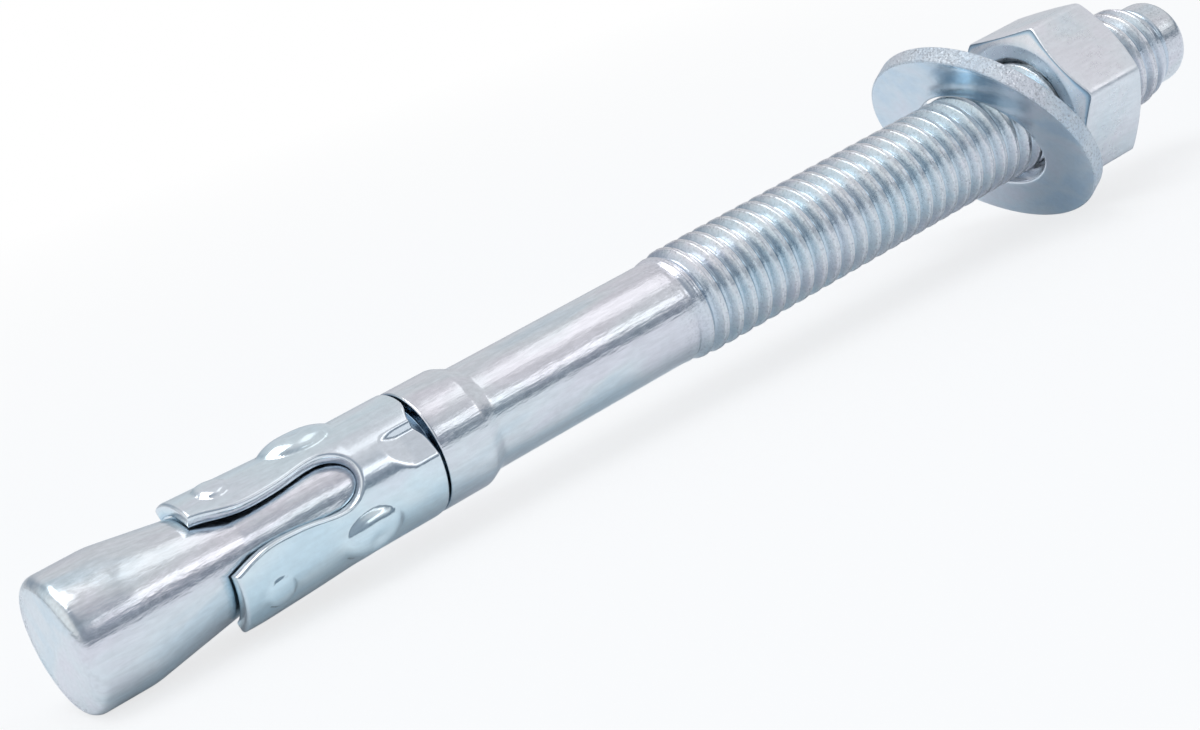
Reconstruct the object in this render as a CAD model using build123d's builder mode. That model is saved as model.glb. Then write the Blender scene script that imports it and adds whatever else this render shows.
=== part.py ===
from build123d import *
import math
import os

# Wedge anchor (expansion stud), modelled in millimetres, lying on its side.
# X runs along the stud's axis, from the flat face of the cone end at x = 0 to the nut end.
# Z is up. Angles around the stud are counted from +Y towards +Z.

# ---- stud: cone end -----------------------------------------------------------------
LAND_DIAMETER = 10.7          # the widest ring, just behind the flat end face
LAND_LENGTH = 4.0
END_ROUNDING = 1.0            # radius between the flat end face and the land
LAND_ROUNDING = 8.0           # soft break between the land and the taper
CONE_HALF_ANGLE = 9.0         # the taper that spreads the clip
# ---- stud: neck, collar, shank ------------------------------------------------------
NECK_DIAMETER = 7.8
NECK_LENGTH = 16.2
COLLAR_DIAMETER = 9.9
COLLAR_LENGTH = 4.2
COLLAR_EDGE_BREAK = 0.15      # radius on the collar edge that faces the clip
SHOULDER_ANGLE = 24.0         # slope of the collar's shoulder down to the shank
SHOULDER_ROUNDING = 1.2
SHANK_DIAMETER = 8.66         # rolled down to the pitch diameter of the thread
SHANK_LENGTH = 19.2
# ---- stud: thread, 3/8 in - 16 UNC --------------------------------------------------
THREAD_DIAMETER = 9.48
THREAD_PITCH = 25.4 / 16
THREAD_DEPTH = 0.75
THREAD_CREST = 0.42           # flat width of a crest along the axis
THREAD_FLANK_ANGLE = 30.0
THREAD_LENGTH = 60.0
THREAD_RUNOUT = 1.6           # length over which the crests grow out of the shank
THREAD_POINT_CHAMFER = 1.9    # length over which the last crests are turned away
# ---- stud: plain point past the thread ----------------------------------------------
POINT_DIAMETER = 7.8
POINT_LENGTH = 3.3
POINT_ROUNDING = 1.5
# ---- expansion clip -----------------------------------------------------------------
SHEET = 1.0
CLIP_LENGTH = 19.0
CLIP_BAND_LENGTH = 6.2        # the closed ring of the clip, beside the collar
CLIP_NECK_CLEARANCE = 0.12
CLIP_END_GAP = 0.2            # between the clip and the collar
WING_CLEARANCE = 0.12         # between the wing tips and the cone
WING_COUNT = 3
FIRST_SLOT_ANGLE = 153.4
SLOT_END_RADIUS = 2.25        # round end of each keyhole slot, along the rolled sheet
SLOT_WAIST_WIDTH = 3.3
SLOT_MOUTH_WIDTH = 5.2
SLOT_BAND_MARGIN = 0.2        # from the closed ring to the round end
SEAM_WIDTH = 0.7
BOSS_LENGTH = 5.8             # pressed boss at the root of each wing
BOSS_WIDTH = 3.7
BOSS_HEIGHT = 0.85
BOSS_FROM_TIP = 11.2
DIMPLE_DIAMETER = 2.5         # small round boss near each wing tip
DIMPLE_HEIGHT = 0.3
DIMPLE_FROM_TIP = 3.2
CRIMP_DEPTH = 0.45            # flat pressed into the closed ring behind each slot
CRIMP_LENGTH = 3.8
# ---- washer -------------------------------------------------------------------------
WASHER_DIAMETER = 21.7
WASHER_HOLE = 12.0
WASHER_THICKNESS = 1.7
WASHER_LEAN = 29.4            # degrees, the top leaning towards the cone end
WASHER_EDGE_ROUNDING = 0.2
WASHER_NUT_GAP = 0.1
# ---- nut ----------------------------------------------------------------------------
NUT_ACROSS_FLATS = 14.29
NUT_HEIGHT = 8.33
NUT_CHAMFER_ANGLE = 30.0
NUT_FACE_DIAMETER = 13.0      # the flat ring that is left inside each chamfer
NUT_TURN = 176.0              # angle of one corner around the stud
NUT_FACE_TO_POINT = 11.0      # from the outer face of the nut to the tip of the stud
NUT_MOUTH_CHAMFER = 0.5
NUT_THREAD_CLEARANCE = 0.1    # between the crests of the stud and the bore of the nut

os.makedirs("parts", exist_ok=True)

# ---- radii and places along the axis ------------------------------------------------
land_radius = LAND_DIAMETER / 2
neck_radius = NECK_DIAMETER / 2
collar_radius = COLLAR_DIAMETER / 2
shank_radius = SHANK_DIAMETER / 2
crest_radius = THREAD_DIAMETER / 2
root_radius = crest_radius - THREAD_DEPTH
cone_slope = math.tan(math.radians(CONE_HALF_ANGLE))
shoulder_slope = math.tan(math.radians(SHOULDER_ANGLE))

land_end = END_ROUNDING + LAND_LENGTH
cone_end = land_end + (land_radius - neck_radius) / cone_slope
collar_start = cone_end + NECK_LENGTH
collar_end = collar_start + COLLAR_LENGTH
shank_start = collar_end + (collar_radius - shank_radius) / shoulder_slope
thread_start = shank_start + SHANK_LENGTH
thread_end = thread_start + THREAD_LENGTH
stud_end = thread_end + POINT_LENGTH

clip_end = collar_start - CLIP_END_GAP
clip_tip = clip_end - CLIP_LENGTH
band_start = clip_end - CLIP_BAND_LENGTH
clip_inner = neck_radius + CLIP_NECK_CLEARANCE
clip_outer = clip_inner + SHEET
tip_inner = land_radius - (clip_tip - land_end) * cone_slope + WING_CLEARANCE
flare_slope = (tip_inner - clip_inner) / (band_start - clip_tip)
slot_step = 360 / WING_COUNT

nut_outer_face = stud_end - NUT_FACE_TO_POINT
nut_inner_face = nut_outer_face - NUT_HEIGHT


def outward(angle):
    """Direction out of the stud's axis at this angle."""
    return Vector(0, math.cos(math.radians(angle)), math.sin(math.radians(angle)))


def tangent_plane(angle, distance):
    """Plane across that direction, with its local X along the stud."""
    return Plane(origin=outward(angle) * distance, x_dir=(1, 0, 0), z_dir=outward(angle))


def lengthwise_plane(angle, x=0.0, distance=0.0):
    """Plane through the stud's axis, with its local X along the stud and its local Y outward."""
    centre = Vector(x, 0, 0) + outward(angle) * distance
    return Plane(origin=centre, x_dir=(1, 0, 0), z_dir=Vector(1, 0, 0).cross(outward(angle)))


def sheet_outer_radius(x):
    """Outer radius of the clip's sheet, which flares along the wings."""
    return clip_outer + flare_slope * max(0.0, band_start - x)


# ---- stud: one turned and rolled piece ----------------------------------------------
def crest_reach(x):
    """Height of the crests at x: they grow out of the shank and are turned down at the point."""
    grown = shank_radius + (x - thread_start) / THREAD_RUNOUT * (crest_radius - shank_radius)
    pointed = root_radius + (thread_end - x) / THREAD_POINT_CHAMFER * THREAD_DEPTH
    return min(crest_radius, grown, pointed)


def thread_outline():
    """Points of the thread's profile from the shank to the plain point, one ring to each pitch."""
    flank_slope = math.tan(math.radians(THREAD_FLANK_ANGLE))
    ring_count = int((THREAD_LENGTH - THREAD_PITCH / 2) / THREAD_PITCH)
    points = []
    for i in range(ring_count):
        middle = thread_start + THREAD_PITCH * (i + 1)
        top = crest_reach(middle)
        foot = THREAD_CREST / 2 + (top - root_radius) * flank_slope
        points.append((middle - foot, root_radius))
        points.append((middle - THREAD_CREST / 2, top))
        points.append((middle + THREAD_CREST / 2, top))
        points.append((middle + foot, root_radius))
    return points


def outer_corner(shape, x):
    """The corner of a profile that lies farthest from the axis at x."""
    return shape.vertices().filter_by_position(Axis.X, x - 1e-4, x + 1e-4).sort_by(Axis.Y)[-1]


with BuildPart() as stud:
    with BuildSketch(Plane.XY) as stud_profile:
        with BuildLine():
            Polyline(
                (0, 0),
                (0, land_radius),
                (land_end, land_radius),
                (cone_end, neck_radius),
                (collar_start, neck_radius),
                (collar_start, collar_radius),
                (collar_end, collar_radius),
                (shank_start, shank_radius),
                (thread_start, shank_radius),
                *thread_outline(),
                (thread_end, root_radius),
                (thread_end, POINT_DIAMETER / 2),
                (stud_end, POINT_DIAMETER / 2),
                (stud_end, 0),
                close=True,
            )
        make_face()
        fillet(outer_corner(stud_profile, 0), END_ROUNDING)
        fillet(outer_corner(stud_profile, land_end), LAND_ROUNDING)
        fillet(outer_corner(stud_profile, collar_start), COLLAR_EDGE_BREAK)
        fillet(outer_corner(stud_profile, collar_end), SHOULDER_ROUNDING)
        fillet(outer_corner(stud_profile, shank_start), SHOULDER_ROUNDING)
        fillet(outer_corner(stud_profile, stud_end), POINT_ROUNDING)
    revolve(axis=Axis.X)
stud.part.label = "stud"
export_step(stud.part, "parts/stud.step")


# ---- expansion clip: a stamped sheet rolled around the neck ---------------------------
def slot_outline(angle, height):
    """Keyhole slot on the plane at this height above the axis. Its walls all aim at the axis."""
    round_middle = band_start - SLOT_BAND_MARGIN - SLOT_END_RADIUS
    waist = (clip_tip + round_middle) / 2
    half_mouth = SLOT_MOUTH_WIDTH / 2
    side = [
        (clip_tip, half_mouth),
        (waist, SLOT_WAIST_WIDTH / 2),
        (round_middle, SLOT_END_RADIUS),
        (round_middle + SLOT_END_RADIUS, 0),
    ]

    def across(width):
        return height * math.tan(width / clip_outer)

    upper = [(x, across(y)) for x, y in side]
    lower = [(x, -across(y)) for x, y in side[-2::-1]]
    before = clip_tip - SHEET
    with BuildSketch(tangent_plane(angle, height)) as slot:
        with BuildLine():
            Spline(*upper, *lower)
            Polyline(lower[-1], (before, lower[-1][1]), (before, upper[0][1]), upper[0])
        make_face()
    return slot.sketch


def lens(angle, x, centre_radius, half_length, half_width):
    """Solid of revolution lying along the stud, round across and elliptical along."""
    centre = Vector(x, 0, 0) + outward(angle) * centre_radius
    with BuildSketch(lengthwise_plane(angle, x, centre_radius)) as lens_profile:
        with BuildLine():
            EllipticalCenterArc((0, 0), half_length, half_width, start_angle=0, arc_size=180)
            Line((-half_length, 0), (half_length, 0))
        make_face()
    return lens_profile.sketch, Axis(centre, (1, 0, 0))


with BuildPart() as expansion_clip:
    with BuildSketch(Plane.XY):
        with BuildLine():
            Polyline(
                (clip_tip, 0),
                (clip_tip, tip_inner + SHEET),
                (band_start, clip_outer),
                (clip_end, clip_outer),
                (clip_end, 0),
                close=True,
            )
        make_face()
    revolve(axis=Axis.X)
    for i in range(WING_COUNT):
        wing_angle = FIRST_SLOT_ANGLE + slot_step * (i + 0.5)
        boss_x = clip_tip + BOSS_FROM_TIP
        boss_top = sheet_outer_radius(boss_x) + BOSS_HEIGHT
        drop = boss_top - math.sqrt(sheet_outer_radius(boss_x) ** 2 - (BOSS_WIDTH / 2) ** 2)
        boss_radius = (drop**2 + (BOSS_WIDTH / 2) ** 2) / (2 * drop)
        boss_share = math.sqrt(1 - (1 - BOSS_HEIGHT / boss_radius) ** 2)
        section, middle = lens(
            wing_angle, boss_x, boss_top - boss_radius, BOSS_LENGTH / 2 / boss_share, boss_radius
        )
        revolve(section, axis=middle)
        dimple_x = clip_tip + DIMPLE_FROM_TIP
        dimple_radius = ((DIMPLE_DIAMETER / 2) ** 2 + DIMPLE_HEIGHT**2) / (2 * DIMPLE_HEIGHT)
        dimple_centre = sheet_outer_radius(dimple_x) + DIMPLE_HEIGHT - dimple_radius
        section, middle = lens(wing_angle, dimple_x, dimple_centre, dimple_radius, dimple_radius)
        revolve(section, axis=middle)
    with BuildSketch(Plane.XY):
        with BuildLine():
            Polyline(
                (clip_tip - SHEET, 0),
                (clip_tip - SHEET, tip_inner + SHEET * flare_slope),
                (band_start, clip_inner),
                (clip_end + SHEET, clip_inner),
                (clip_end + SHEET, 0),
                close=True,
            )
        make_face()
    revolve(axis=Axis.X, mode=Mode.SUBTRACT)
    for i in range(WING_COUNT):
        slot_angle = FIRST_SLOT_ANGLE + slot_step * i
        slot_foot = slot_outline(slot_angle, clip_inner - SHEET)
        slot_top = slot_outline(slot_angle, tip_inner + 2 * SHEET)
        loft([slot_foot, slot_top], ruled=True, mode=Mode.SUBTRACT)
        with BuildSketch(lengthwise_plane(slot_angle)):
            with BuildLine():
                Polyline(
                    (clip_end - CRIMP_LENGTH, clip_outer),
                    (clip_end, clip_outer - CRIMP_DEPTH),
                    (clip_end + SHEET, clip_outer - CRIMP_DEPTH),
                    (clip_end + SHEET, clip_outer + SHEET),
                    (clip_end - CRIMP_LENGTH, clip_outer + SHEET),
                    close=True,
                )
            make_face()
        extrude(amount=clip_outer, both=True, mode=Mode.SUBTRACT)
    seam_angle = FIRST_SLOT_ANGLE - slot_step
    with BuildSketch(tangent_plane(seam_angle, 0)):
        with Locations((clip_end, 0)):
            Rectangle(2 * (CLIP_BAND_LENGTH + SLOT_END_RADIUS), SEAM_WIDTH)
    extrude(amount=clip_outer + SHEET, mode=Mode.SUBTRACT)
expansion_clip.part.label = "expansion_clip"
export_step(expansion_clip.part, "parts/expansion_clip.step")

# ---- nut ----------------------------------------------------------------------------
nut_corner_radius = NUT_ACROSS_FLATS / math.sqrt(3)
nut_face_radius = NUT_FACE_DIAMETER / 2
nut_chamfer_depth = (nut_corner_radius - nut_face_radius) * math.tan(math.radians(NUT_CHAMFER_ANGLE))
nut_bore_radius = crest_radius + NUT_THREAD_CLEARANCE

with BuildPart() as hex_nut:
    with BuildSketch(Plane.YZ.offset(nut_inner_face)):
        RegularPolygon(radius=nut_corner_radius, side_count=6, rotation=NUT_TURN)
        Circle(nut_bore_radius, mode=Mode.SUBTRACT)
    extrude(amount=NUT_HEIGHT)
    with BuildSketch(Plane.XY):
        with BuildLine():
            Polyline(
                (nut_inner_face, 0),
                (nut_inner_face, nut_face_radius),
                (nut_inner_face + nut_chamfer_depth, nut_corner_radius),
                (nut_outer_face - nut_chamfer_depth, nut_corner_radius),
                (nut_outer_face, nut_face_radius),
                (nut_outer_face, 0),
                close=True,
            )
        make_face()
    revolve(axis=Axis.X, mode=Mode.INTERSECT)
    mouths = hex_nut.edges().filter_by(GeomType.CIRCLE).filter_by(
        lambda edge: abs(edge.radius - nut_bore_radius) < 1e-6
    )
    chamfer(mouths, NUT_MOUTH_CHAMFER)
hex_nut.part.label = "hex_nut"
export_step(hex_nut.part, "parts/hex_nut.step")

# ---- washer: it hangs slack on the thread, leaning against the lower edge of the nut ---
lean = math.radians(WASHER_LEAN)
washer_reach = WASHER_THICKNESS / 2 + WASHER_NUT_GAP + nut_face_radius * math.sin(lean)
washer_middle = nut_inner_face - washer_reach / math.cos(lean)

with BuildPart() as washer:
    with BuildSketch(Plane(origin=(washer_middle, 0, 0), z_dir=(math.cos(lean), 0, math.sin(lean)))):
        Circle(WASHER_DIAMETER / 2)
        Circle(WASHER_HOLE / 2, mode=Mode.SUBTRACT)
    extrude(amount=WASHER_THICKNESS / 2, both=True)
    fillet(washer.edges(), WASHER_EDGE_ROUNDING)
washer.part.label = "washer"
export_step(washer.part, "parts/washer.step")
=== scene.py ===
import math
from typing import NamedTuple

import bmesh
import bpy
import numpy as np
from mathutils import Matrix, Vector


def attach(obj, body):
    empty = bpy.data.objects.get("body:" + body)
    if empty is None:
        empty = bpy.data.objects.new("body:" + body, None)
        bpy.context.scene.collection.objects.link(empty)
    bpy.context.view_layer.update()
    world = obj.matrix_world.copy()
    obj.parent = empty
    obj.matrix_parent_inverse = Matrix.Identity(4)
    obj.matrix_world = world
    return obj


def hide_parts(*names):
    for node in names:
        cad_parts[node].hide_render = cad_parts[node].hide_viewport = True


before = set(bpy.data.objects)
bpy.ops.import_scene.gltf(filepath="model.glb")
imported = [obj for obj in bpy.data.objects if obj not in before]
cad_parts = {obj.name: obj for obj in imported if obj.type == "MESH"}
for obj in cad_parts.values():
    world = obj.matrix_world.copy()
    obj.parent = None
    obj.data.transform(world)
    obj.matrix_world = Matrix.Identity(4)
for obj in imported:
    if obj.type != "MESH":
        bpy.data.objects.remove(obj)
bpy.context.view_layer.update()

# The zinc plated wedge anchor: four pieces that stand for the four CAD solids, on a plain pale floor.
# X runs along the stud from the cone's end face to the threaded end, Y is across and Z is up.
# An angle round the stud is counted from +Y towards +Z, and the photo looks at the side near 164.5 degrees.
# The anchor's sizes are in millimetres, as in the CAD source, up to add_piece. The studio's are in metres.
MM = 0.001

# ---- sizes: stud ------------------------------------------------------------------------
LAND_R, LAND_END = 5.35, 5.0                    # widest ring, just behind the flat end face
END_ROUND, LAND_BREAK, NECK_BREAK = 1.0, 8.0, 2.0
CONE_END, NECK_R = 14.155, 3.9                  # the cone runs down to the neck that carries the clip
COLLAR_START, COLLAR_END, COLLAR_R = 30.355, 34.555, 4.95
COLLAR_ROUNDS = (0.1, 0.18)                     # beside the clip: in the corner and on the edge
SHANK_START, SHANK_R, SHOULDER_ROUND = 35.948, 4.33, 1.2
THREAD_START, THREAD_END, CREST_R, ROOT_R, PITCH = 55.148, 115.148, 4.74, 3.99, 25.4 / 16
RUN_IN = 0.4                                    # the crests start to grow this far before the thread
RUN_IN_LENGTH, RUN_OUT_LENGTH = 2.2 * PITCH, 1.9
RUN_OUT_R = ROOT_R - 0.02                       # the last crests are turned down to this
POINT_START, POINT_R, STUD_END, POINT_ROUND = THREAD_END + 0.12, 3.9, 118.447, 1.5
AXIS_R = 0.001                                  # of the smallest ring, in the middle of an end face

# ---- sizes: clip ------------------------------------------------------------------------
CLIP_TIP, BAND_START, CLIP_END = 11.155, 23.955, 30.155
CLIP_INNER, TIP_INNER, SHEET = 4.02, 4.495, 1.0
SHEET_R = CLIP_INNER + SHEET                    # lengths round the rolled sheet are measured here
SLOT_COUNT, FIRST_SLOT, SEAM_SLOT = 3, 153.4, 2
SEAM_HALF = 0.35
SLOT_X = np.array([9.9, 11.2, 12.1, 13.4, 14.4, 15.5, 17.0, 19.0, 20.0, 21.0, 21.5])
SLOT_HALF = np.array([2.75, 2.62, 2.45, 2.02, 1.76, 1.63, 1.66, 1.88, 2.08, 2.23, 2.25])
SLOT_END_X, SLOT_END_R = 21.5, 2.25             # centre and radius of a slot's round end

# ---- sizes: washer and nut --------------------------------------------------------------
WASHER_R, WASHER_HOLE_R, WASHER_T = 10.85, 6.0, 1.7
WASHER_HOLE_ROUND, WASHER_RIM_ROUND = 0.28, 0.24
WASHER_X, WASHER_LEAN = 94.364, math.radians(29.4)
NUT_IN, NUT_OUT, NUT_FLATS, NUT_FACE_R = 99.118, 107.448, 14.29, 6.5
NUT_BORE_R, NUT_BORE_CHAMFER, NUT_BORE_DEPTH = 4.84, 0.5, 2.0          # the profile starts this deep in the bore
NUT_TURN, NUT_CHAMFER_SLOPE = math.radians(176.0), math.tan(math.radians(30))


# ---- mesh helpers -----------------------------------------------------------------------
def smooth_max(a, b, k):
    return 0.5 * (a + b + np.sqrt((a - b) ** 2 + k * k))


def smooth_min(a, b, k):
    return -smooth_max(-a, -b, k)


def smoothstep(t):
    t = np.clip(t, 0, 1)
    return t * t * (3 - 2 * t)


def fillet_path(points, radii, steps):
    """Polyline with its inner corners rounded by their radii, always with the same number of points."""
    out = [points[0]]
    for k in range(1, len(points) - 1):
        a, b, c = (np.array(points[k + i], float) for i in (-1, 0, 1))
        u, v = a - b, c - b
        u_length, v_length = np.linalg.norm(u), np.linalg.norm(v)
        u, v = u / u_length, v / v_length
        half = math.acos(max(-1.0, min(1.0, float(u @ v)))) / 2
        if half > math.radians(89.5):           # as good as straight
            out.extend([tuple(b)] * (steps + 1))
            continue
        reach = min(radii[k] / math.tan(half), 0.49 * u_length, 0.49 * v_length)
        radius = reach * math.tan(half)
        centre = b + (u + v) / np.linalg.norm(u + v) * radius / math.sin(half)
        p, q = b + u * reach - centre, b + v * reach - centre
        turn = math.pi - 2 * half
        for t in (i / steps for i in range(steps + 1)):
            spoke = (math.sin((1 - t) * turn) * p + math.sin(t * turn) * q) / math.sin(turn)
            out.append(tuple(centre + spoke))
    out.append(points[-1])
    return out


def divided(a, b, parts):
    """The points that divide the way from a to b into equal parts, with b and without a."""
    return [(a[0] + (b[0] - a[0]) * i / parts, a[1] + (b[1] - a[1]) * i / parts) for i in range(1, parts + 1)]


def subdivided(points, longest):
    """Polyline with points added so that no stretch is longer than this."""
    out = [points[0]]
    for a, b in zip(points[:-1], points[1:]):
        out.extend(divided(a, b, max(1, math.ceil(math.dist(a, b) / longest))))
    return out


def turned_points(x, r, angles):
    """Points at these places along the stud, radii and angles."""
    return np.stack([np.broadcast_to(x, np.shape(angles)), r * np.cos(angles), r * np.sin(angles)], axis=1)


def grid_faces(rows, columns, closed, start=0):
    """Quads over a grid of vertices. A closed grid joins its last column to its first."""
    faces = []
    for a in range(start, start + (rows - 1) * columns, columns):
        b = a + columns
        for j in range(columns if closed else columns - 1):
            k = (j + 1) % columns
            faces.append((a + j, a + k, b + k, b + j))
    return faces


def ring_faces(rows, columns):
    """Quads over a closed grid whose last row also meets its first."""
    last = (rows - 1) * columns
    joint = [(last + j, last + (j + 1) % columns, (j + 1) % columns, j) for j in range(columns)]
    return grid_faces(rows, columns, closed=True) + joint


def add_piece(name, verts, faces, body, node, material, wear_and_shade, coarse):
    """Makes the mesh that stands for a CAD node, with the two values at each vertex that zinc() reads."""
    mesh = bpy.data.meshes.new(name)
    mesh.from_pydata([tuple(v) for v in np.asarray(verts) * MM], [], faces)
    for label, values in (("wear_and_painted_shade", wear_and_shade), ("coarse", coarse)):
        layer = mesh.attributes.new(label, "FLOAT", "POINT")
        layer.data.foreach_set("value", np.asarray(values, dtype=np.float32))
    mesh.validate()
    mesh.update()
    for polygon in mesh.polygons:
        polygon.use_smooth = True
    piece = bpy.data.objects.new(name, mesh)
    bpy.context.scene.collection.objects.link(piece)
    piece.data.materials.append(material)
    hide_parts(node)
    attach(piece, body)
    return piece


# ---- node graphs ------------------------------------------------------------------------
class Graph:
    """Short calls that add a node to a tree and return its output. What goes into a node is a number, a vector,
    a colour or the output of another node."""

    def __init__(self, tree):
        self.nodes, self.links = tree.nodes, tree.links

    def feed(self, socket, value):
        if isinstance(value, bpy.types.NodeSocket):
            self.links.new(value, socket)
        elif socket.type == "RGBA":
            socket.default_value = (*value, 1.0)
        else:
            socket.default_value = value

    def add(self, kind, output, inputs, **settings):
        node = self.nodes.new("ShaderNode" + kind)
        for label, value in settings.items():
            setattr(node, label, value)
        for socket, value in inputs.items():
            self.feed(node.inputs[socket], value)
        return node.outputs[output]

    def coordinates(self, kind):
        return self.add("TexCoord", kind, {})

    def attribute(self, label):
        return self.add("Attribute", "Fac", {}, attribute_name=label)

    def calculate(self, operation, a, b):
        return self.add("Math", 0, {0: a, 1: b}, operation=operation)

    def spread(self, value, low, high, out_low=0.0, out_high=1.0, **settings):
        """Maps the range from low to high to the one from out_low to out_high, and clamps to it."""
        return self.add("MapRange", "Result", {"Value": value, "From Min": low, "From Max": high,
                                               "To Min": out_low, "To Max": out_high}, **settings)

    def mix(self, factor, a, b, blend_type="MIX"):
        return self.add("Mix", 2, {0: factor, 6: a, 7: b}, data_type="RGBA", blend_type=blend_type)

    def noise(self, place, size, detail, roughness=0.5, distortion=0.0):
        return self.add("TexNoise", "Fac", {"Vector": place, "Scale": 1 / size, "Detail": detail,
                                            "Roughness": roughness, "Distortion": distortion})

    def bump(self, height, strength, distance, below=None):
        """Bumps of this distance in millimetres, added to the normal of the bumps below."""
        inputs = {"Height": height, "Strength": strength, "Distance": distance * MM}
        if below is not None:
            inputs["Normal"] = below
        return self.add("Bump", "Normal", inputs)


# ---- materials --------------------------------------------------------------------------
# values of the attribute wear_and_painted_shade, and the colours that they give: above PLAIN a worn bright edge,
# below it painted shade, darkest in crevices
WORN, PLAIN, SHADED, DEEP_SHADE = 1.0, 0.0, -1.0, -2.0
WORN_COLOUR, SHADE_COLOUR, DEEP_SHADE_COLOUR = (0.86, 0.87, 0.89), (0.45, 0.61, 0.73), (0.13, 0.18, 0.24)
WORN_SHARE, DARK_SHARE = 0.6, 0.95              # how much of these colours is mixed in
SHINE_WIDTH = 0.3                               # an edge is worn bright up to this far from it
PIT_COLOUR = (0.16, 0.18, 0.22)
MOTTLING = 0.05                                 # how much darker the fine spots are
NOISE_RANGE = (0.3, 0.7)                        # holds nearly all values of a noise
LINE_STRETCH = 0.18                             # drawn lines are long along the stud and thin across it
COARSE_ROUGHNESS = 0.14                         # added where the metal is coarse


def zinc(name, blue, pale, lilac, rough, coarse_grain, undulation=0.35, drawn=0.0, grain=0.10, streak=0.05,
         speck=0.5, stretch=0.35):
    """Bright zinc plating in patches that go from bluish over pale to lilac, with this roughness.

    undulation, drawn, grain and coarse_grain are the strengths of the bumps, from soft waves over drawn lines to
    pitted metal. streak is how much darker the drawn lines are, and speck how dark the pits are where the metal is
    coarse. A stretch below 1 draws the patches and the waves out along the stud.

    Two values at each vertex of a piece steer the rest: wear_and_painted_shade, from a worn bright edge down to
    painted shade that darkens crevices, as listed above, and coarse, which is 1 where the metal is rough and
    pitted.
    """
    material = bpy.data.materials.new(name)
    material.use_nodes = True
    graph = Graph(material.node_tree)
    shader = graph.nodes["Principled BSDF"]
    shader.inputs["Metallic"].default_value = 1.0
    coordinates = graph.coordinates("Object")

    def millimetres(along):
        """Coordinates in millimetres, scaled by this along the stud."""
        return graph.add("Mapping", "Vector", {"Vector": coordinates, "Scale": (along / MM, 1 / MM, 1 / MM)})

    even, long, lines = millimetres(1.0), millimetres(stretch), millimetres(LINE_STRETCH)
    wear_and_shade, coarse = graph.attribute("wear_and_painted_shade"), graph.attribute("coarse")

    ramp = graph.nodes.new("ShaderNodeValToRGB")
    first, last = ramp.color_ramp.elements
    first.position, first.color = 0.38, (*blue, 1)
    last.position, last.color = 0.62, (*lilac, 1)
    ramp.color_ramp.elements.new(0.5).color = (*pale, 1)
    graph.feed(ramp.inputs["Fac"], graph.noise(long, size=6.0, detail=3.0, roughness=0.55, distortion=0.4))

    mottle = graph.noise(even, size=0.55, detail=4.0, roughness=0.6)
    spots = graph.spread(mottle, *NOISE_RANGE, 1 - MOTTLING, 1 + MOTTLING * 0.4)
    streaks = graph.spread(graph.noise(lines, size=0.30, detail=3.0), 0.38, 0.62, 1 - streak, 1.0)
    holes = graph.spread(graph.noise(even, size=0.22, detail=2.0, roughness=0.7), 0.52, 0.66, 0.0, speck)
    colour = graph.mix(1.0, ramp.outputs["Color"], spots, "MULTIPLY")
    colour = graph.mix(1.0, colour, streaks, "MULTIPLY")
    colour = graph.mix(graph.calculate("MULTIPLY", holes, coarse), colour, PIT_COLOUR)
    # painted shade: bluish below PLAIN and nearly black in crevices, where shade falls on the metal
    colour = graph.mix(graph.spread(wear_and_shade, SHADED, PLAIN, DARK_SHARE, 0.0), colour, SHADE_COLOUR)
    colour = graph.mix(graph.spread(wear_and_shade, DEEP_SHADE, SHADED, DARK_SHARE, 0.0), colour, DEEP_SHADE_COLOUR)
    colour = graph.mix(graph.spread(wear_and_shade, PLAIN, WORN, 0.0, WORN_SHARE), colour, WORN_COLOUR)
    graph.feed(shader.inputs["Base Color"], colour)

    roughness = graph.spread(mottle, *NOISE_RANGE, rough * 0.8, rough * 1.2)
    rougher = graph.spread(coarse, 0.0, 1.0, 0.0, COARSE_ROUGHNESS)
    graph.feed(shader.inputs["Roughness"], graph.calculate("ADD", roughness, rougher))

    coarse_strength = graph.spread(coarse, 0.0, 1.0, 0.0, coarse_grain)
    normal = graph.bump(graph.noise(long, size=1.6, detail=2.0), undulation, 0.05)
    normal = graph.bump(graph.noise(lines, size=0.24, detail=3.0), drawn, 0.04, normal)
    normal = graph.bump(graph.noise(even, size=0.20, detail=2.0, roughness=0.6), grain, 0.03, normal)
    normal = graph.bump(graph.noise(even, size=0.34, detail=3.0, roughness=0.7), coarse_strength, 0.25, normal)
    graph.feed(shader.inputs["Normal"], normal)
    return material


STUD_ZINC = zinc("stud_zinc", (0.70, 0.80, 0.85), (0.80, 0.84, 0.86), (0.82, 0.81, 0.85), rough=0.20,
                 coarse_grain=0.2, drawn=0.42, streak=0.08, speck=0.9)
CLIP_ZINC = zinc("clip_zinc", (0.70, 0.84, 0.90), (0.79, 0.89, 0.92), (0.81, 0.86, 0.90), rough=0.16,
                 coarse_grain=0.17, undulation=0.55, drawn=0.12)
WASHER_ZINC = zinc("washer_zinc", (0.60, 0.72, 0.82), (0.70, 0.78, 0.84), (0.74, 0.77, 0.83), rough=0.20,
                   coarse_grain=1.0, grain=0.04, streak=0.02, speck=0.65, stretch=1.0)
NUT_ZINC = zinc("nut_zinc", (0.80, 0.86, 0.89), (0.85, 0.88, 0.90), (0.86, 0.86, 0.89), rough=0.30,
                coarse_grain=0.28, grain=0.05, streak=0.06, speck=0.25, stretch=1.0)


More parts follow.
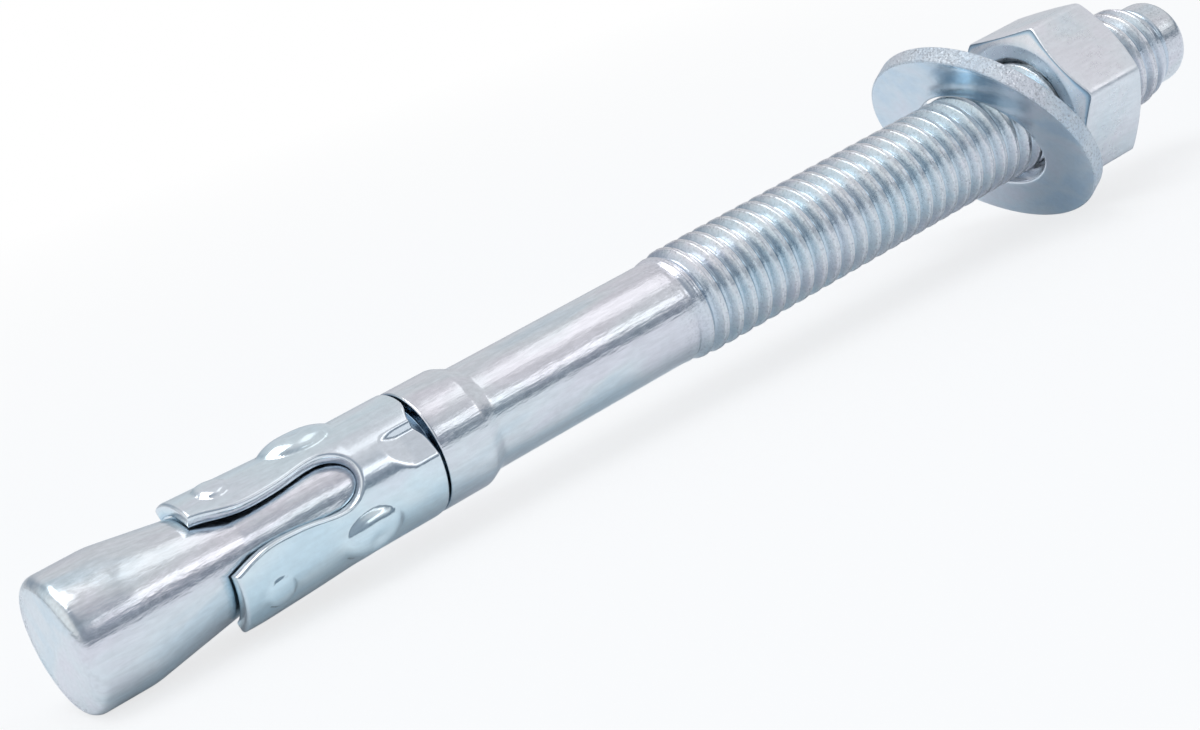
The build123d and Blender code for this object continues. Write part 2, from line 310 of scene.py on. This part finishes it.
# ---- stud: a turned profile with a rolled right-hand thread -------------------------------
CREST_PHASE = 56.66 - PITCH * 164.5 / 360       # a crest passes x = 56.66 on the side that the photo shows
CREST_HALF, FLANK_ANGLE = 0.17, math.radians(34)
ROOT_BLEND, CREST_BLEND = 0.10, 0.03            # how softly the flanks run into the root and the crest
CREST_LIFT = 0.007                              # gives back what the blend takes off the crest
GROOVE_DEPTH, GROOVE_SPREAD = 0.085, 0.07       # the fine groove that rolling leaves along the crest
THREAD_HEIGHTS = (0.0, 0.15, 0.78, 0.88, 0.95, 1.0)          # share of the way from root to crest
THREAD_WEAR_AND_SHADE = (-0.5, -0.45, -0.15, 0.2, 0.9, 1.0)            # worn bright crests, and painted shade below zero in the roots and on the flanks, at these heights
THREAD_COARSE, POINT_COARSE = 0.25, 0.3
CREST_COARSE, CREST_COARSE_R, CREST_COARSE_RAMP = 0.55, 4.6, 0.1       # added to the thread over this radius
# painted shade on the stud in the gap between the clip and the collar
CREVICE_START, CREVICE_END, CREVICE_R = CLIP_END - 1.2, COLLAR_START + 0.05, COLLAR_R - 0.08
CREVICE_PAINTED_SHADE = -1.8
# the chipped ring on the end face: all round, more on one side, and turned by this many radians
CHIPS_R, CHIPS_SPREAD, CHIPS_EVEN, CHIPS_ONE_SIDED, CHIPS_TURN = 4.5, 0.35, 0.35, 0.9, 0.26


def thread_radius(x, angles):
    """Radius of the thread, which grows out of the shank and is turned away at its end, and its worn crests and
    painted shade in the roots.
    """
    turns = (x - CREST_PHASE) / PITCH - angles / (2 * math.pi)
    from_crest = np.abs(turns - np.round(turns)) * PITCH
    r = smooth_max(CREST_R - (from_crest - CREST_HALF) / math.tan(FLANK_ANGLE), ROOT_R, ROOT_BLEND)
    r = smooth_min(r, CREST_R, CREST_BLEND) + CREST_LIFT
    r = r - GROOVE_DEPTH * np.exp(-((from_crest / GROOVE_SPREAD) ** 2))
    grown = smoothstep((x - THREAD_START + RUN_IN) / RUN_IN_LENGTH)
    r = SHANK_R + (r - SHANK_R) * grown
    turned_away = RUN_OUT_R + (THREAD_END - x) / RUN_OUT_LENGTH * (CREST_R - ROOT_R)
    r = np.minimum(r, np.minimum(turned_away, CREST_R))
    # worn bright crests, and painted shade in the roots and on the flanks
    return r, np.interp((r - ROOT_R) / (CREST_R - ROOT_R), THREAD_HEIGHTS, THREAD_WEAR_AND_SHADE) * grown


def rim_chips(r, angles):
    """How coarse the end face is: in a ring near its rim, and most of all on the side of +Y."""
    round_the_ring = np.clip(CHIPS_EVEN + CHIPS_ONE_SIDED * np.cos(angles + CHIPS_TURN), 0, 1)
    return math.exp(-(((r - CHIPS_R) / CHIPS_SPREAD) ** 2)) * round_the_ring


def build_stud():
    columns, thread_rings_per_turn = 96, 19
    angles = np.linspace(0, 2 * math.pi, columns, endpoint=False)
    thread_x = THREAD_START - RUN_IN
    head = fillet_path(
        [(0, AXIS_R), (0, LAND_R), (LAND_END, LAND_R), (CONE_END, NECK_R), (COLLAR_START, NECK_R),
         (COLLAR_START, COLLAR_R), (COLLAR_END, COLLAR_R), (SHANK_START, SHANK_R), (thread_x, SHANK_R)],
        [0, END_ROUND, LAND_BREAK, NECK_BREAK, *COLLAR_ROUNDS, SHOULDER_ROUND, SHOULDER_ROUND, 0], 8)
    tail = fillet_path(
        [(THREAD_END, RUN_OUT_R), (POINT_START, POINT_R), (STUD_END, POINT_R), (STUD_END, AXIS_R)],
        [0, 0.05, POINT_ROUND, 0], 8)

    rings = []          # place, radius, wear and painted shade, and coarseness: one number, or one for each angle
    for x, r in subdivided(head, 0.9)[:-1]:
        # painted shade on the neck and the collar inside the gap under the clip's end
        in_crevice = CREVICE_START < x < CREVICE_END and r < CREVICE_R
        rings.append((x, r, CREVICE_PAINTED_SHADE if in_crevice else PLAIN, rim_chips(r, angles) if x < 0.4 else 0.0))
    count = int((THREAD_END - thread_x) / PITCH * thread_rings_per_turn)
    for x in np.linspace(thread_x, THREAD_END - 0.01, count):
        r, wear_and_shade = thread_radius(x, angles)
        on_crest = np.clip((r - CREST_COARSE_R) / CREST_COARSE_RAMP, 0, 1)
        rings.append((x, r, wear_and_shade, THREAD_COARSE + CREST_COARSE * on_crest))
    rings += [(x, r, PLAIN, POINT_COARSE) for x, r in subdivided(tail, 0.6)]
    x, r, wear_and_shade, coarse = (np.concatenate([np.broadcast_to(ring[k], columns) for ring in rings]) for k in range(4))

    last = (len(rings) - 1) * columns
    faces = grid_faces(len(rings), columns, closed=True)
    faces += [tuple(range(columns))[::-1], tuple(range(last, last + columns))]
    faces = [face[::-1] for face in faces]
    return add_piece("stud_body", turned_points(x, r, np.tile(angles, len(rings))), faces, "stud", "stud",
                     STUD_ZINC, wear_and_shade, coarse)


# ---- expansion clip: stamped sheet with rounded edges, one wing after another --------------
class Wing(NamedTuple):
    """What differs from wing to wing. Turns are in degrees from the middle of the wing."""
    tip: float              # place of the free end: the blank is cut a little askew
    boss_x: float
    boss_half: float        # half the boss's length
    boss_height: float
    boss_turn: float
    dimple_turn: float


WINGS = (Wing(11.9, 23.1, 2.75, 0.98, -2.5, 0),
         Wing(11.2, 21.9, 3.1, 0.85, 0, 0),
         Wing(11.25, 21.9, 3.1, 0.85, 0, 10))
BOSS_HALF_WIDTH, BOSS_DIP, BOSS_DIP_SPREAD = 1.85, 0.30, 0.35
DIMPLE_R, DIMPLE_HEIGHT, DIMPLE_FROM_TIP = 1.25, 0.34, 3.0
CRIMP_LENGTH, CRIMP_RAMP, CRIMP_DEPTH = 3.85, 1.7, 0.52
CRIMP_WALL_START, CRIMP_WALL, CRIMP_MIDDLE = -14.5, 4.5, -3.5          # in degrees from the slot
DRAWN_BACK, DRAWN_LENGTH = 0.75, 2.6
DRAWN_MIDDLE, DRAWN_SPREAD = -15, 13                                  # in degrees from the slot
OUTER_EDGE_ROUND, INNER_EDGE_ROUND, EDGE_WEAR_WIDTH = 0.3, 0.12, 0.35
INNER_PAINTED_SHADE, EDGE_COARSE = -0.8, 0.25            # painted shade: the inside of the sheet is coloured darker and bluish
EDGE_STEPS = np.array([0, 0.03, 0.08, 0.14, 0.21, 0.30, 0.42])        # how far vertices are from an edge
SPAN_COLUMNS = 40                               # columns of vertices between those beside the edges


def slot_half(x, is_seam):
    """Half the width of a keyhole slot, along the rolled sheet. The seam goes on through the band."""
    if x <= SLOT_END_X:
        k = int(np.clip(np.searchsorted(SLOT_X, x) - 1, 0, len(SLOT_X) - 2))
        h = SLOT_X[k + 1] - SLOT_X[k]
        t = float(np.clip((x - SLOT_X[k]) / h, 0, 1))
        slopes = np.gradient(SLOT_HALF, SLOT_X)
        half = ((2 * t**3 - 3 * t**2 + 1) * SLOT_HALF[k] + (t**3 - 2 * t**2 + t) * h * slopes[k]
                + (-2 * t**3 + 3 * t**2) * SLOT_HALF[k + 1] + (t**3 - t**2) * h * slopes[k + 1])
    else:
        half = math.sqrt(max(0.0, SLOT_END_R**2 - (x - SLOT_END_X) ** 2))
    return max(half, SEAM_HALF) if is_seam else half


def slot_side(slot_angle, side, tip, is_seam):
    """Points along one side of a slot, as places along the stud and lengths round the rolled sheet."""
    stretches = [np.linspace(tip - 0.5, SLOT_END_X, 120),
                 SLOT_END_X + SLOT_END_R * np.sin(np.radians(np.linspace(1, 90, 60)))]
    if is_seam:
        stretches.append(np.linspace(SLOT_END_X + SLOT_END_R + 0.05, CLIP_END + 0.5, 60))
    middle = math.radians(slot_angle) * SHEET_R
    return np.array([(x, middle + side * slot_half(x, is_seam)) for x in np.concatenate(stretches)])


def distance_to_line(points, line):
    """Distance from each point to the nearest place on a polyline."""
    steps = (line[1:] - line[:-1])[None]
    away = points[:, None] - line[None, :-1]
    t = np.clip((away * steps).sum(2) / np.maximum((steps**2).sum(2), 1e-12), 0, 1)
    return np.linalg.norm(away - t[..., None] * steps, axis=2).min(1)


def wing_stations(tip):
    """Places of the rows of vertices, closer together at the ends of the sheet and at the slot's end."""
    slot_end = SLOT_END_X + SLOT_END_R
    stations = [tip + EDGE_STEPS,
                np.arange(tip + 0.6, SLOT_END_X, 0.2),
                SLOT_END_X + SLOT_END_R * np.sin(np.radians(np.arange(0, 91, 5.0))),
                slot_end + np.array([0.02, 0.06, 0.12, 0.2, 0.3, 0.42, 0.6, 0.8]),
                np.arange(slot_end + 1.0, CLIP_END - 0.5, 0.2),
                CLIP_END - EDGE_STEPS]
    return np.unique(np.round(np.concatenate(stations), 4))


def edge_rounding(distance, radius):
    """How far a surface drops at this distance from the sheet's edge."""
    short = 1 - np.clip(distance / radius, 0, 1)
    return radius * (1 - np.sqrt(np.maximum(0, 1 - short**2)))


def pressed_out(x, angles, wing, middle):
    """Height over the plain sheet of the boss by the band and of the round dimple near the tip."""
    turn = angles - middle - math.radians(wing.boss_turn)
    w = np.sqrt(((x - wing.boss_x) / wing.boss_half) ** 2 + (turn * SHEET_R / BOSS_HALF_WIDTH) ** 2)
    dip = 1 - BOSS_DIP * np.exp(-((w / BOSS_DIP_SPREAD) ** 2))
    boss = wing.boss_height * np.clip(1 - w**2, 0, 1) ** 0.8 * dip
    turn = angles - middle - math.radians(wing.dimple_turn)
    w = np.sqrt((x - wing.tip - DIMPLE_FROM_TIP) ** 2 + (turn * SHEET_R) ** 2) / DIMPLE_R
    return boss + DIMPLE_HEIGHT * np.clip(1 - w**3, 0, 1) ** 0.45


def crimped(x, turned):
    """Depth of the flat pressed into the band behind a slot, at these angles in degrees from the slot."""
    reach = float(np.clip((x - (CLIP_END - CRIMP_LENGTH)) / CRIMP_RAMP, 0, 1)) ** 0.8
    flat = (SHEET_R - CRIMP_DEPTH * reach) / np.maximum(np.cos(np.radians(turned - CRIMP_MIDDLE)), 0.3)
    return np.maximum(SHEET_R - flat, 0) * smoothstep((turned - CRIMP_WALL_START) / CRIMP_WALL)


def drawn_back(x, turned):
    """How far a crimp draws the end of the sheet back, at these angles in degrees from its slot."""
    near_end = np.clip((x - CLIP_END + DRAWN_LENGTH) / DRAWN_LENGTH, 0, 1) ** 2
    return DRAWN_BACK * np.exp(-(((turned - DRAWN_MIDDLE) / DRAWN_SPREAD) ** 2)) * near_end


def wing_faces(stations, columns, start, seams):
    """Quads over the outer grid of a wing, over the inner one that follows it, and over the sheet's edges."""
    rows = len(stations)
    inside = rows * columns
    faces = [face[::-1] for face in grid_faces(rows, columns, False, start)]
    faces += grid_faces(rows, columns, False, start + inside)
    for a in range(start, start + columns - 1):
        b = a + (rows - 1) * columns
        faces.append((a, a + 1, a + 1 + inside, a + inside))
        faces.append((b + 1, b, b + inside, b + 1 + inside))
    for row in range(rows - 1):
        x = (stations[row] + stations[row + 1]) / 2
        a = start + row * columns
        b = a + columns
        if slot_half(x, seams[0]) > 1e-4:
            faces.append((b, a, a + inside, b + inside))
        a, b = a + columns - 1, b + columns - 1
        if slot_half(x, seams[1]) > 1e-4:
            faces.append((a, b, b + inside, a + inside))
    return faces


def build_wing(index, start):
    """Vertices, faces, and edge wear and painted shade of one wing and its third of the band, between two slots.
    """
    wing = WINGS[index]
    slots = [FIRST_SLOT + 120 * index, FIRST_SLOT + 120 * (index + 1)]
    seams = [index == SEAM_SLOT, (index + 1) % SLOT_COUNT == SEAM_SLOT]
    middle = math.radians(sum(slots) / 2)
    edges = []          # the near sides of both slots, and the far sides too where the band goes on past the slot
    for slot_angle, is_seam, side in zip(slots, seams, (1, -1)):
        edges += [slot_side(slot_angle, s, wing.tip, is_seam) for s in ((side,) if is_seam else (side, -side))]

    stations = wing_stations(wing.tip)
    columns = 2 * len(EDGE_STEPS) + SPAN_COLUMNS
    outer, inner, wear_and_shade = [], [], []
    for x in stations:
        low = math.radians(slots[0]) * SHEET_R + slot_half(x, seams[0])
        high = math.radians(slots[1]) * SHEET_R - slot_half(x, seams[1])
        lengths = np.concatenate([low + EDGE_STEPS, np.linspace(low + 0.55, high - 0.55, SPAN_COLUMNS),
                                  high - EDGE_STEPS[::-1]])
        points = np.stack([np.full(columns, x), lengths], axis=1)
        distance = np.min([distance_to_line(points, edge) for edge in edges], axis=0)
        distance = np.maximum(np.minimum(distance, min(x - wing.tip, CLIP_END - x)), 0)

        angles = lengths / SHEET_R
        turned = [np.degrees(angles) - slot_angle for slot_angle in slots]
        flare = (TIP_INNER - CLIP_INNER) / (BAND_START - CLIP_TIP) * max(0, BAND_START - x)
        r_in = CLIP_INNER + flare + edge_rounding(distance, INNER_EDGE_ROUND)
        r_out = SHEET_R + flare + pressed_out(x, angles, wing, middle) - edge_rounding(distance, OUTER_EDGE_ROUND)
        r_out = r_out - crimped(x, turned[0]) - crimped(x, turned[1])
        pushed = x - np.maximum(drawn_back(x, turned[0]), drawn_back(x, turned[1]))
        outer.append(turned_points(pushed, r_out, angles))
        inner.append(turned_points(pushed, r_in, angles))
        wear_and_shade.append(np.clip(1 - distance / EDGE_WEAR_WIDTH, PLAIN, WORN))
    # painted shade over the whole inside of the sheet, which faces the stud
    wear_and_shade.append(np.full(len(stations) * columns, INNER_PAINTED_SHADE))
    return np.concatenate(outer + inner), wing_faces(stations, columns, start, seams), np.concatenate(wear_and_shade)


def build_clip():
    verts, faces, wear_and_shade = [], [], []
    for index in range(SLOT_COUNT):
        wing_verts, quads, wing_wear_and_shade = build_wing(index, len(verts))
        verts.extend(wing_verts)
        faces.extend(quads)
        wear_and_shade.extend(wing_wear_and_shade)
    piece = add_piece("clip_sheet", verts, faces, "clip", "expansion_clip", CLIP_ZINC, wear_and_shade,
                      EDGE_COARSE * np.clip(wear_and_shade, PLAIN, WORN))
    joined = bmesh.new()            # the thirds of the band become one sheet, open at the seam
    joined.from_mesh(piece.data)
    bmesh.ops.remove_doubles(joined, verts=joined.verts, dist=0.004 * MM)
    bmesh.ops.recalc_face_normals(joined, faces=joined.faces)
    joined.to_mesh(piece.data)
    joined.free()
    return piece


# ---- washer: a punched ring, a little uneven round its edges -------------------------------
UNEVEN_RIM, UNEVEN_HOLE, UNEVEN_CHANGE_R = 0.25, 0.5, 8
WASHER_WEAR = 0.5                               # of its edges
RIM_COARSE_DEPTH, RIM_COARSE_RAMP = 0.25, 0.15  # the rim is torn, and the faces too this far in from it


def build_washer():
    columns = 200
    half = WASHER_T / 2
    profile = fillet_path(
        [(0, WASHER_HOLE_R), (-half, WASHER_HOLE_R), (-half, WASHER_R), (half, WASHER_R), (half, WASHER_HOLE_R),
         (0, WASHER_HOLE_R)],
        [0, WASHER_HOLE_ROUND, WASHER_RIM_ROUND, WASHER_RIM_ROUND, WASHER_HOLE_ROUND, 0], 6)
    profile = subdivided(profile, 0.5)[:-1]
    angles = np.linspace(0, 2 * math.pi, columns, endpoint=False)
    uneven = 0.035 * np.sin(angles * 3 + 1.0) + 0.02 * np.sin(angles * 7)
    rings, wear_and_shade, coarse = [], [], []
    for x, r in profile:
        share = UNEVEN_RIM if r > UNEVEN_CHANGE_R else UNEVEN_HOLE
        rings.append(turned_points(x, np.minimum(r + share * uneven, WASHER_R - 0.02), angles))
        from_edge = min(abs(r - WASHER_R), abs(r - WASHER_HOLE_R))
        wear_and_shade.append(WASHER_WEAR * max(0.0, 1 - from_edge / SHINE_WIDTH))
        coarse.append(min(1.0, max(0.0, (r - WASHER_R + RIM_COARSE_DEPTH) / RIM_COARSE_RAMP)))
    x, y, z = np.concatenate(rings).T
    c, s = math.cos(WASHER_LEAN), math.sin(WASHER_LEAN)
    verts = np.stack([WASHER_X + x * c - z * s, y, x * s + z * c], axis=1)
    return add_piece("washer_ring", verts, ring_faces(len(profile), columns), "washer", "washer",
                     WASHER_ZINC, np.repeat(wear_and_shade, columns), np.repeat(coarse, columns))


# ---- nut: a double chamfered hexagon, from one profile for each angle ----------------------
NUT_CORNER_R, NUT_CORNER_BLEND = NUT_FLATS / math.sqrt(3), 0.10
NUT_ROUNDS = (0.1, 0.15, 0.35, 0.22)            # from the bore outwards, at both ends
NUT_ROUND_STEPS, NUT_PARTS = 5, 3               # steps in a rounding, and parts between two of its points
# the profile's fourth rounding, where the chamfer beside the washer meets the flat, starts with a thin line of
# painted shade
SHADE_LINE_POINT = NUT_PARTS * (1 + 3 * (NUT_ROUND_STEPS + 1))
SHADE_LINE_VALUE = -1.9
NUT_PAINTED_SHADE = 0.45                                # painted shade on the face towards the washer
NUT_CORNER_WEAR, NUT_EDGE_COARSE = 0.8, 0.8


def nut_profile(angle):
    """Points of the nut's section at this angle, and the edge wear and painted shade at each."""
    from_corner = abs((angle - NUT_TURN + math.pi / 6) % (math.pi / 3) - math.pi / 6)
    flat = NUT_FLATS / 2 / math.cos(math.pi / 6 - from_corner)
    outer = float(smooth_min(flat, NUT_CORNER_R - NUT_CORNER_BLEND, NUT_CORNER_BLEND))
    drop = max(0.02, (outer - NUT_FACE_R) * NUT_CHAMFER_SLOPE)
    half = [(NUT_BORE_DEPTH, NUT_BORE_R), (NUT_BORE_CHAMFER, NUT_BORE_R), (0, NUT_BORE_R + NUT_BORE_CHAMFER),
            (0, NUT_FACE_R), (drop, outer)]
    path = fillet_path([(NUT_IN + x, r) for x, r in half] + [(NUT_OUT - x, r) for x, r in half[::-1]],
                       [0, *NUT_ROUNDS, *NUT_ROUNDS[::-1], 0], NUT_ROUND_STEPS)
    points = [path[0]]
    for a, b in zip(path[:-1], path[1:]):
        points.extend(divided(a, b, NUT_PARTS))

    wear_and_shade = []
    for x, r in points:
        from_chamfer = min(abs(x - (NUT_IN + drop)), abs(x - (NUT_OUT - drop)))
        bright = max(0.0, 1 - from_chamfer / SHINE_WIDTH) if r > outer - 0.35 else 0.0
        if r > outer - 0.05:
            bright = max(bright, NUT_CORNER_WEAR * max(0.0, 1 - from_corner * NUT_CORNER_R / SHINE_WIDTH))
        # painted shade on the face towards the washer, where it meets the washer
        shade = NUT_PAINTED_SHADE * float(np.clip((NUT_IN + 0.12 - x) / 0.1, 0, 1)) if r < NUT_FACE_R + 0.2 else 0.0
        wear_and_shade.append(bright - shade * (1 - bright))
    # a thin line of painted shade all round, where the chamfer meets the flat
    wear_and_shade[SHADE_LINE_POINT] = wear_and_shade[SHADE_LINE_POINT + 1] = SHADE_LINE_VALUE
    return points, wear_and_shade


def build_nut():
    columns = 6 * 26
    angles = np.linspace(0, 2 * math.pi, columns, endpoint=False) + NUT_TURN
    profiles, wear_and_shade = zip(*map(nut_profile, angles))
    rings = np.array(profiles).transpose(1, 2, 0)       # for each point of the profile, x and r at each angle
    verts = np.concatenate([turned_points(x, r, angles) for x, r in rings])
    wear_and_shade = np.array(wear_and_shade).T.ravel()
    return add_piece("nut_body", verts, ring_faces(len(rings), columns), "nut", "hex_nut", NUT_ZINC,
                     wear_and_shade, NUT_EDGE_COARSE * np.clip(wear_and_shade, PLAIN, WORN))


build_stud()
build_clip()
build_washer()
build_nut()

# ---- floor ------------------------------------------------------------------------------
# the anchor lies on its cone end and on the washer's rim: place along the stud and depth under its axis
CONE_CONTACT, RIM_CONTACT = (3.0, 5.35), (99.0, 9.87)
FLOOR_SLOPE = (RIM_CONTACT[1] - CONE_CONTACT[1]) / (RIM_CONTACT[0] - CONE_CONTACT[0])
FLOOR_Z = -5.37 * MM                            # under the cone end
FLOOR_CORNERS = ((-8, -8), (8, -8), (8, 8), (-8, 8))
MIDDLE = Vector((0.06, 0.0, 0.0))               # of the anchor
GLOSS_SHARE = 0.05                              # of the white background in what the metal reflects


def white_share(graph, camera_share):
    """How much of the plain white background each kind of ray sees."""
    rays = graph.nodes.new("ShaderNodeLightPath").outputs
    camera = graph.calculate("MULTIPLY", rays["Is Camera Ray"], camera_share)
    transmission = graph.calculate("MULTIPLY", rays["Is Transmission Ray"], camera_share)
    glossy = graph.calculate("MULTIPLY", rays["Is Glossy Ray"], GLOSS_SHARE)
    return graph.calculate("MAXIMUM", graph.calculate("MAXIMUM", camera, transmission), glossy)


def studio_paper():
    """Pale paper that takes the anchor's shadow and goes over into plain white away from it."""
    paper = bpy.data.materials.new("studio_paper")
    paper.use_nodes = True
    graph = Graph(paper.node_tree)
    diffuse = graph.nodes["Principled BSDF"]
    diffuse.inputs["Base Color"].default_value = (0.88, 0.92, 0.95, 1)
    diffuse.inputs["Roughness"].default_value = 0.9
    diffuse.inputs["Specular IOR Level"].default_value = 0.1
    white = graph.add("Emission", 0, {"Color": (1, 1, 1), "Strength": 1.0})
    from_anchor = graph.add("VectorMath", "Vector", {0: graph.coordinates("Object"), 1: (MIDDLE.x, 0, FLOOR_Z)},
                            operation="SUBTRACT")
    distance = graph.add("VectorMath", "Value", {0: from_anchor}, operation="LENGTH")
    share = white_share(graph, graph.spread(distance, 0.08, 0.40, 0.75, 1.0))
    graph.feed(graph.nodes["Material Output"].inputs["Surface"],
               graph.add("MixShader", 0, {0: share, 1: diffuse.outputs[0], 2: white}))
    return paper


def stage_plane(name, corners, material):
    mesh = bpy.data.meshes.new(name)
    mesh.from_pydata(corners, [], [(0, 1, 2, 3)])
    plane = bpy.data.objects.new(name, mesh)
    bpy.context.scene.collection.objects.link(plane)
    plane.data.materials.append(material)
    return plane


stage_plane("studio_floor",
            [(x, y, FLOOR_Z - FLOOR_SLOPE * (x - CONE_CONTACT[0] * MM)) for x, y in FLOOR_CORNERS],
            studio_paper())

# ---- room: what the metal reflects besides the lamps ---------------------------------------
FRONT_HORIZON, BACK_HORIZON = (0.13, 0.18, 0.24), (0.55, 0.57, 0.61)
DIM_WALL, CONE_END_WALL, THREAD_END_WALL = (0.29, 0.34, 0.41), (0.92, 0.94, 0.96), (0.68, 0.69, 0.73)


def direction(azimuth, elevation):
    a, e = math.radians(azimuth), math.radians(elevation)
    return Vector((math.cos(e) * math.cos(a), math.cos(e) * math.sin(a), math.sin(e)))


def build_room():
    """A soft room with a horizon that is dark in front and lighter behind. Above it the walls are bright at the
    cone end and at the threaded end, and dimmer elsewhere. The camera sees plain white in its place."""
    world = bpy.data.worlds.new("studio")
    bpy.context.scene.world = world
    world.use_nodes = True
    graph = Graph(world.node_tree)
    looking = graph.coordinates("Generated")

    def ramp(towards, low, high, away, near):
        """Goes from one colour to the other as the direction comes nearer to this one."""
        facing = graph.add("VectorMath", "Value", {0: looking, 1: towards}, operation="DOT_PRODUCT")
        return graph.mix(graph.spread(facing, low, high, interpolation_type="SMOOTHSTEP"), away, near)

    walls = ramp(direction(176, 18), 0.45, 0.99, DIM_WALL, CONE_END_WALL)
    walls = ramp(direction(15, 42), 0.25, 0.72, walls, THREAD_END_WALL)
    horizon = ramp(direction(95, 10), 0.0, 0.70, FRONT_HORIZON, BACK_HORIZON)
    room = ramp(Vector((0, 0, 1)), 0.05, 0.24, horizon, walls)
    background = graph.nodes["Background"]
    graph.feed(background.inputs["Color"], graph.mix(white_share(graph, 1.0), room, (1, 1, 1)))
    background.inputs["Strength"].default_value = 1.0


build_room()


# ---- lamps and camera -------------------------------------------------------------------
class SoftBox(NamedTuple):
    """A rectangular lamp that faces the middle of the anchor. Angles are in degrees, lengths in metres."""
    name: str
    azimuth: float
    elevation: float
    distance: float
    width: float
    height: float
    radiance: float         # its brightness as it is seen


SOFT_BOXES = (SoftBox("key_box", -20, 58, 0.60, 0.34, 0.16, 0.50),      # upper highlight along the rod
              SoftBox("strip_box", -57, 24, 0.60, 0.45, 0.11, 0.95),    # lower highlight
              SoftBox("fill_box", 195, 78, 0.65, 0.46, 0.40, 2.40))     # light on the floor, not seen in the rod


def add_lamp(box):
    lamp = bpy.data.lights.new(box.name, "AREA")
    lamp.shape = "RECTANGLE"
    lamp.size, lamp.size_y = box.width, box.height
    lamp.energy = box.radiance * math.pi * box.width * box.height
    thing = bpy.data.objects.new(box.name, lamp)
    bpy.context.scene.collection.objects.link(thing)
    thing.location = MIDDLE + direction(box.azimuth, box.elevation) * box.distance
    thing.rotation_euler = (MIDDLE - thing.location).to_track_quat("-Z", "Y").to_euler()


for box in SOFT_BOXES:
    add_lamp(box)

# the photo's camera, fitted to the anchor's outlines
IMAGE_WIDTH, FOCAL_LENGTH = 1200, 2265.8        # in pixels
CAMERA_PLACE = (-0.040995, -0.148373, 0.041259)
RIGHT, UP, FORWARD = (0.7541, -0.5551, -0.3509), (0.4240, 0.0036, 0.9056), (0.5015, 0.8318, -0.2381)

camera_data = bpy.data.cameras.new("photo_camera")
camera_data.sensor_fit = "HORIZONTAL"
camera_data.sensor_width = 36.0
camera_data.lens = FOCAL_LENGTH * camera_data.sensor_width / IMAGE_WIDTH
camera_data.clip_start = 0.01
camera_data.clip_end = 100
camera = bpy.data.objects.new("photo_camera", camera_data)
bpy.context.scene.collection.objects.link(camera)
camera.matrix_world = Matrix([(r, u, -f, place) for r, u, f, place in zip(RIGHT, UP, FORWARD, CAMERA_PLACE)]
                             + [(0, 0, 0, 1)])
bpy.context.scene.camera = camera

bpy.context.scene.view_settings.view_transform = "Standard"
